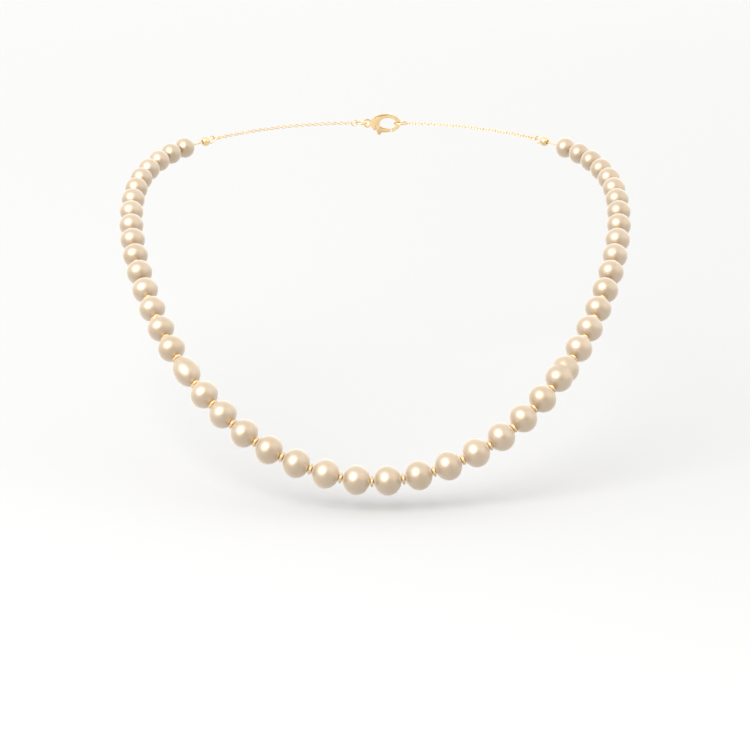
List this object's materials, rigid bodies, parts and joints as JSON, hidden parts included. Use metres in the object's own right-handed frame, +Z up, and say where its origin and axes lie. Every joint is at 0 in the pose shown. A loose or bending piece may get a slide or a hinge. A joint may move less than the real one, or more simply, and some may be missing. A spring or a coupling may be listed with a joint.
{
  "type": "pearl necklace",
  "caption": "Graduated strand of cream pearls, hand-knotted on silk, with a fine chain round the nape closed by a lobster clasp, lying as worn.",
  "frame": {"origin": "on the clasp's inner flat face, which rests on the nape of the neck", "axes": "+Z up, -Y towards the front of the necklace, +X to the left of the person who wears it"},
  "size_m": [0.1474, 0.1516, 0.075],
  "materials": {
    "pearl": "pearl lustre, cream to champagne",
    "thread": "gold-beige silk",
    "gold": "polished gold plate",
    "spring": "bright steel wire"
  },
  "bodies": {
    "back_chain": {"clasp_body": "gold", "clasp_pin": "gold", "clasp_spring": "spring", "chain_left": "gold", "chain_right": "gold"},
    "clasp_lever": {"clasp_lever": "gold"},
    "jump_ring": {"jump_ring": "gold"},
    "strand_back": {"thread_left": "thread", "thread_right": "thread", "bead_tip_left": "gold", "bead_tip_right": "gold"},
    "strand_front": {"thread_front": "thread"},
    "pearl_01": {"pearl_01": "pearl"},
    "pearl_02": {"pearl_02": "pearl"},
    "pearl_03": {"pearl_03": "pearl"},
    "pearl_04": {"pearl_04": "pearl"},
    "pearl_05": {"pearl_05": "pearl"},
    "pearl_06": {"pearl_06": "pearl"},
    "pearl_07": {"pearl_07": "pearl"},
    "pearl_08": {"pearl_08": "pearl"},
    "pearl_09": {"pearl_09": "pearl"},
    "pearl_10": {"pearl_10": "pearl"},
    "pearl_11": {"pearl_11": "pearl"},
    "pearl_12": {"pearl_12": "pearl"},
    "pearl_13": {"pearl_13": "pearl"},
    "pearl_14": {"pearl_14": "pearl"},
    "pearl_15": {"pearl_15": "pearl"},
    "pearl_16": {"pearl_16": "pearl"},
    "pearl_17": {"pearl_17": "pearl"},
    "pearl_18": {"pearl_18": "pearl"},
    "pearl_19": {"pearl_19": "pearl"},
    "pearl_20": {"pearl_20": "pearl"},
    "pearl_21": {"pearl_21": "pearl"},
    "pearl_22": {"pearl_22": "pearl"},
    "pearl_23": {"pearl_23": "pearl"},
    "pearl_24": {"pearl_24": "pearl"},
    "pearl_25": {"pearl_25": "pearl"},
    "pearl_26": {"pearl_26": "pearl"},
    "pearl_27": {"pearl_27": "pearl"},
    "pearl_28": {"pearl_28": "pearl"},
    "pearl_29": {"pearl_29": "pearl"},
    "pearl_30": {"pearl_30": "pearl"},
    "pearl_31": {"pearl_31": "pearl"},
    "pearl_32": {"pearl_32": "pearl"},
    "pearl_33": {"pearl_33": "pearl"},
    "pearl_34": {"pearl_34": "pearl"},
    "pearl_35": {"pearl_35": "pearl"},
    "pearl_36": {"pearl_36": "pearl"},
    "pearl_37": {"pearl_37": "pearl"},
    "pearl_38": {"pearl_38": "pearl"},
    "pearl_39": {"pearl_39": "pearl"},
    "pearl_40": {"pearl_40": "pearl"},
    "pearl_41": {"pearl_41": "pearl"},
    "pearl_42": {"pearl_42": "pearl"},
    "pearl_43": {"pearl_43": "pearl"},
    "pearl_44": {"pearl_44": "pearl"},
    "pearl_45": {"pearl_45": "pearl"},
    "pearl_46": {"pearl_46": "pearl"},
    "pearl_47": {"pearl_47": "pearl"},
    "pearl_48": {"pearl_48": "pearl"}
  },
  "joints": [
    {"name": "strand_swing", "type": "hinge", "parent": "back_chain", "child": "strand_back", "pos_m": [0, -0.01395, -0.00186], "axis": [-1, 0, 0], "range_deg": [0, 60]},
    {"name": "front_lift", "type": "hinge", "parent": "strand_back", "child": "strand_front", "pos_m": [0, -0.09394, -0.02561], "axis": [-1, 0, 0], "range_deg": [0, 35]},
    {"name": "clasp_lever", "type": "hinge", "parent": "back_chain", "child": "clasp_lever", "pos_m": [0, 0.00095, -0.0015], "axis": [0, -1, 0], "range_deg": [0, 28], "stiffness_Nm_per_rad": 0.002, "springref_deg": -22.92, "deforming": ["clasp_spring"]},
    {"name": "jump_ring_spin", "type": "hinge", "parent": "back_chain", "child": "jump_ring", "pos_m": [-0.00435, 0.00095, 0], "axis": [0, 0, 1], "continuous": true},
    {"name": "pearl_01_spin", "type": "hinge", "parent": "strand_back", "child": "pearl_01", "pos_m": [-0.05705, -0.02189, -0.00283], "axis": [-0.6615, -0.744, -0.094], "continuous": true},
    {"name": "pearl_02_spin", "type": "hinge", "parent": "strand_back", "child": "pearl_02", "pos_m": [-0.06087, -0.02676, -0.00356], "axis": [-0.5643, -0.8137, -0.1391], "continuous": true},
    {"name": "pearl_03_spin", "type": "hinge", "parent": "strand_back", "child": "pearl_03", "pos_m": [-0.06412, -0.03213, -0.00459], "axis": [-0.4552, -0.8714, -0.183], "continuous": true},
    {"name": "pearl_04_spin", "type": "hinge", "parent": "strand_back", "child": "pearl_04", "pos_m": [-0.06673, -0.03795, -0.00587], "axis": [-0.3488, -0.9135, -0.2094], "continuous": true},
    {"name": "pearl_05_spin", "type": "hinge", "parent": "strand_back", "child": "pearl_05", "pos_m": [-0.06862, -0.04414, -0.0073], "axis": [-0.2214, -0.9494, -0.2226], "continuous": true},
    {"name": "pearl_06_spin", "type": "hinge", "parent": "strand_back", "child": "pearl_06", "pos_m": [-0.06971, -0.05062, -0.00887], "axis": [-0.1018, -0.9655, -0.2396], "continuous": true},
    {"name": "pearl_07_spin", "type": "hinge", "parent": "strand_back", "child": "pearl_07", "pos_m": [-0.07021, -0.05726, -0.01065], "axis": [-0.0423, -0.9599, -0.2771], "continuous": true},
    {"name": "pearl_08_spin", "type": "hinge", "parent": "strand_back", "child": "pearl_08", "pos_m": [-0.07028, -0.06397, -0.01273], "axis": [0.0226, -0.9486, -0.3158], "continuous": true},
    {"name": "pearl_09_spin", "type": "hinge", "parent": "strand_back", "child": "pearl_09", "pos_m": [-0.06989, -0.07069, -0.01511], "axis": [0.0853, -0.9333, -0.3488], "continuous": true},
    {"name": "pearl_10_spin", "type": "hinge", "parent": "strand_back", "child": "pearl_10", "pos_m": [-0.0691, -0.07741, -0.01777], "axis": [0.1322, -0.9148, -0.3817], "continuous": true},
    {"name": "pearl_11_spin", "type": "hinge", "parent": "strand_back", "child": "pearl_11", "pos_m": [-0.06794, -0.08408, -0.02071], "axis": [0.1811, -0.8916, -0.4151], "continuous": true},
    {"name": "pearl_12_spin", "type": "hinge", "parent": "strand_back", "child": "pearl_12", "pos_m": [-0.06639, -0.09067, -0.02393], "axis": [0.2314, -0.8654, -0.4445], "continuous": true},
    {"name": "pearl_13_spin", "type": "hinge", "parent": "strand_front", "child": "pearl_13", "pos_m": [-0.06445, -0.09714, -0.02742], "axis": [0.2798, -0.8369, -0.4705], "continuous": true},
    {"name": "pearl_14_spin", "type": "hinge", "parent": "strand_front", "child": "pearl_14", "pos_m": [-0.06212, -0.10347, -0.03116], "axis": [0.3221, -0.8037, -0.5003], "continuous": true},
    {"name": "pearl_15_spin", "type": "hinge", "parent": "strand_front", "child": "pearl_15", "pos_m": [-0.0594, -0.10962, -0.03515], "axis": [0.3748, -0.7682, -0.519], "continuous": true},
    {"name": "pearl_16_spin", "type": "hinge", "parent": "strand_front", "child": "pearl_16", "pos_m": [-0.05616, -0.11555, -0.03927], "axis": [0.442, -0.7297, -0.5217], "continuous": true},
    {"name": "pearl_17_spin", "type": "hinge", "parent": "strand_front", "child": "pearl_17", "pos_m": [-0.05176, -0.12199, -0.04405], "axis": [0.5105, -0.6826, -0.5229], "continuous": true},
    {"name": "pearl_18_spin", "type": "hinge", "parent": "strand_front", "child": "pearl_18", "pos_m": [-0.04665, -0.12799, -0.04888], "axis": [0.6032, -0.6044, -0.5204], "continuous": true},
    {"name": "pearl_19_spin", "type": "hinge", "parent": "strand_front", "child": "pearl_19", "pos_m": [-0.04142, -0.13259, -0.05315], "axis": [0.6757, -0.5212, -0.5213], "continuous": true},
    {"name": "pearl_20_spin", "type": "hinge", "parent": "strand_front", "child": "pearl_20", "pos_m": [-0.03549, -0.13656, -0.05729], "axis": [0.7587, -0.4382, -0.4821], "continuous": true},
    {"name": "pearl_21_spin", "type": "hinge", "parent": "strand_front", "child": "pearl_21", "pos_m": [-0.02876, -0.13975, -0.06099], "axis": [0.8533, -0.3288, -0.4046], "continuous": true},
    {"name": "pearl_22_spin", "type": "hinge", "parent": "strand_front", "child": "pearl_22", "pos_m": [-0.02132, -0.14203, -0.06411], "axis": [0.9163, -0.2144, -0.3384], "continuous": true},
    {"name": "pearl_23_spin", "type": "hinge", "parent": "strand_front", "child": "pearl_23", "pos_m": [-0.01337, -0.14347, -0.06659], "axis": [0.9609, -0.125, -0.2469], "continuous": true},
    {"name": "pearl_24_spin", "type": "hinge", "parent": "strand_front", "child": "pearl_24", "pos_m": [-0.00506, -0.1442, -0.06811], "axis": [0.9927, -0.0463, -0.1117], "continuous": true},
    {"name": "pearl_25_spin", "type": "hinge", "parent": "strand_front", "child": "pearl_25", "pos_m": [0.00342, -0.14426, -0.06826], "axis": [0.9965, 0.0314, 0.0776], "continuous": true},
    {"name": "pearl_26_spin", "type": "hinge", "parent": "strand_front", "child": "pearl_26", "pos_m": [0.01178, -0.14367, -0.06697], "axis": [0.9683, 0.1092, 0.2248], "continuous": true},
    {"name": "pearl_27_spin", "type": "hinge", "parent": "strand_front", "child": "pearl_27", "pos_m": [0.0198, -0.14238, -0.06466], "axis": [0.926, 0.1954, 0.3229], "continuous": true},
    {"name": "pearl_28_spin", "type": "hinge", "parent": "strand_front", "child": "pearl_28", "pos_m": [0.02735, -0.14028, -0.06165], "axis": [0.8683, 0.3038, 0.3922], "continuous": true},
    {"name": "pearl_29_spin", "type": "hinge", "parent": "strand_front", "child": "pearl_29", "pos_m": [0.03421, -0.13726, -0.05807], "axis": [0.7782, 0.42, 0.467], "continuous": true},
    {"name": "pearl_30_spin", "type": "hinge", "parent": "strand_front", "child": "pearl_30", "pos_m": [0.04029, -0.13344, -0.054], "axis": [0.6904, 0.5051, 0.5178], "continuous": true},
    {"name": "pearl_31_spin", "type": "hinge", "parent": "strand_front", "child": "pearl_31", "pos_m": [0.04565, -0.12897, -0.04975], "axis": [0.6197, 0.5871, 0.5209], "continuous": true},
    {"name": "pearl_32_spin", "type": "hinge", "parent": "strand_front", "child": "pearl_32", "pos_m": [0.05129, -0.12252, -0.04449], "axis": [0.5184, 0.6767, 0.5229], "continuous": true},
    {"name": "pearl_33_spin", "type": "hinge", "parent": "strand_front", "child": "pearl_33", "pos_m": [0.05616, -0.11555, -0.03927], "axis": [0.442, 0.7297, 0.5217], "continuous": true},
    {"name": "pearl_34_spin", "type": "hinge", "parent": "strand_front", "child": "pearl_34", "pos_m": [0.0594, -0.10962, -0.03515], "axis": [0.3748, 0.7682, 0.519], "continuous": true},
    {"name": "pearl_35_spin", "type": "hinge", "parent": "strand_front", "child": "pearl_35", "pos_m": [0.06212, -0.10347, -0.03116], "axis": [0.3221, 0.8037, 0.5003], "continuous": true},
    {"name": "pearl_36_spin", "type": "hinge", "parent": "strand_front", "child": "pearl_36", "pos_m": [0.06445, -0.09714, -0.02742], "axis": [0.2798, 0.8369, 0.4705], "continuous": true},
    {"name": "pearl_37_spin", "type": "hinge", "parent": "strand_back", "child": "pearl_37", "pos_m": [0.06639, -0.09067, -0.02393], "axis": [0.2314, 0.8654, 0.4445], "continuous": true},
    {"name": "pearl_38_spin", "type": "hinge", "parent": "strand_back", "child": "pearl_38", "pos_m": [0.06794, -0.08408, -0.02071], "axis": [0.1811, 0.8916, 0.4151], "continuous": true},
    {"name": "pearl_39_spin", "type": "hinge", "parent": "strand_back", "child": "pearl_39", "pos_m": [0.0691, -0.07741, -0.01777], "axis": [0.1322, 0.9148, 0.3817], "continuous": true},
    {"name": "pearl_40_spin", "type": "hinge", "parent": "strand_back", "child": "pearl_40", "pos_m": [0.06989, -0.07069, -0.01511], "axis": [0.0853, 0.9333, 0.3488], "continuous": true},
    {"name": "pearl_41_spin", "type": "hinge", "parent": "strand_back", "child": "pearl_41", "pos_m": [0.07028, -0.06397, -0.01273], "axis": [0.0226, 0.9486, 0.3158], "continuous": true},
    {"name": "pearl_42_spin", "type": "hinge", "parent": "strand_back", "child": "pearl_42", "pos_m": [0.07021, -0.05726, -0.01065], "axis": [-0.0423, 0.9599, 0.2771], "continuous": true},
    {"name": "pearl_43_spin", "type": "hinge", "parent": "strand_back", "child": "pearl_43", "pos_m": [0.06971, -0.05062, -0.00887], "axis": [-0.1018, 0.9655, 0.2396], "continuous": true},
    {"name": "pearl_44_spin", "type": "hinge", "parent": "strand_back", "child": "pearl_44", "pos_m": [0.06862, -0.04414, -0.0073], "axis": [-0.2214, 0.9494, 0.2226], "continuous": true},
    {"name": "pearl_45_spin", "type": "hinge", "parent": "strand_back", "child": "pearl_45", "pos_m": [0.06673, -0.03795, -0.00587], "axis": [-0.3488, 0.9135, 0.2094], "continuous": true},
    {"name": "pearl_46_spin", "type": "hinge", "parent": "strand_back", "child": "pearl_46", "pos_m": [0.06412, -0.03213, -0.00459], "axis": [-0.4552, 0.8714, 0.183], "continuous": true},
    {"name": "pearl_47_spin", "type": "hinge", "parent": "strand_back", "child": "pearl_47", "pos_m": [0.06087, -0.02676, -0.00356], "axis": [-0.5643, 0.8137, 0.1391], "continuous": true},
    {"name": "pearl_48_spin", "type": "hinge", "parent": "strand_back", "child": "pearl_48", "pos_m": [0.05705, -0.02189, -0.00283], "axis": [-0.6615, 0.744, 0.094], "continuous": true}
  ]
}
